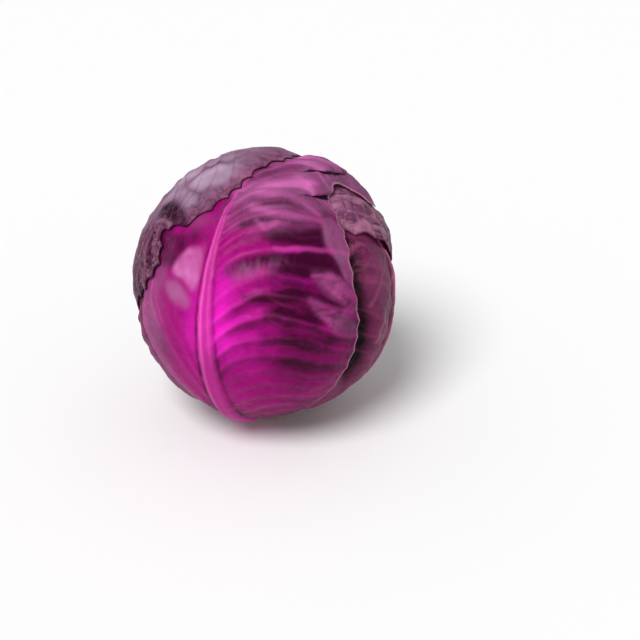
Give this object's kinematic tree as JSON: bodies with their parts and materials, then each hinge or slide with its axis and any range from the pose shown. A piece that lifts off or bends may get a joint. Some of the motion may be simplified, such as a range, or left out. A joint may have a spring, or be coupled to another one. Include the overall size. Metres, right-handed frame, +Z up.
{
  "type": "cabbage head",
  "caption": "Whole head of red cabbage: a cut stem and packed heart wrapped in large overlapping ribbed leaves with toothed edges.",
  "frame": {"origin": "centre of the stem's cut face, on which the head stands", "axes": "+Z up the head from the stem to the crown; -Y is the side with the front leaf's midrib"},
  "size_m": [0.1558, 0.1593, 0.164],
  "materials": {
    "stem": "matte, freshly cut and drying",
    "heart": "waxy satin",
    "right_leaf": "waxy satin",
    "left_leaf": "waxy satin",
    "shoulder_leaf": "waxy, dulled by bloom",
    "front_leaf": "waxy, semi-gloss",
    "cap_leaf": "waxy, dulled by bloom"
  },
  "bodies": {
    "root": {"stem": "stem", "heart": "heart", "right_leaf": "right_leaf", "left_leaf": "left_leaf", "shoulder_leaf": "shoulder_leaf", "front_leaf": "front_leaf", "cap_leaf": "cap_leaf"}
  },
  "joints": []
}
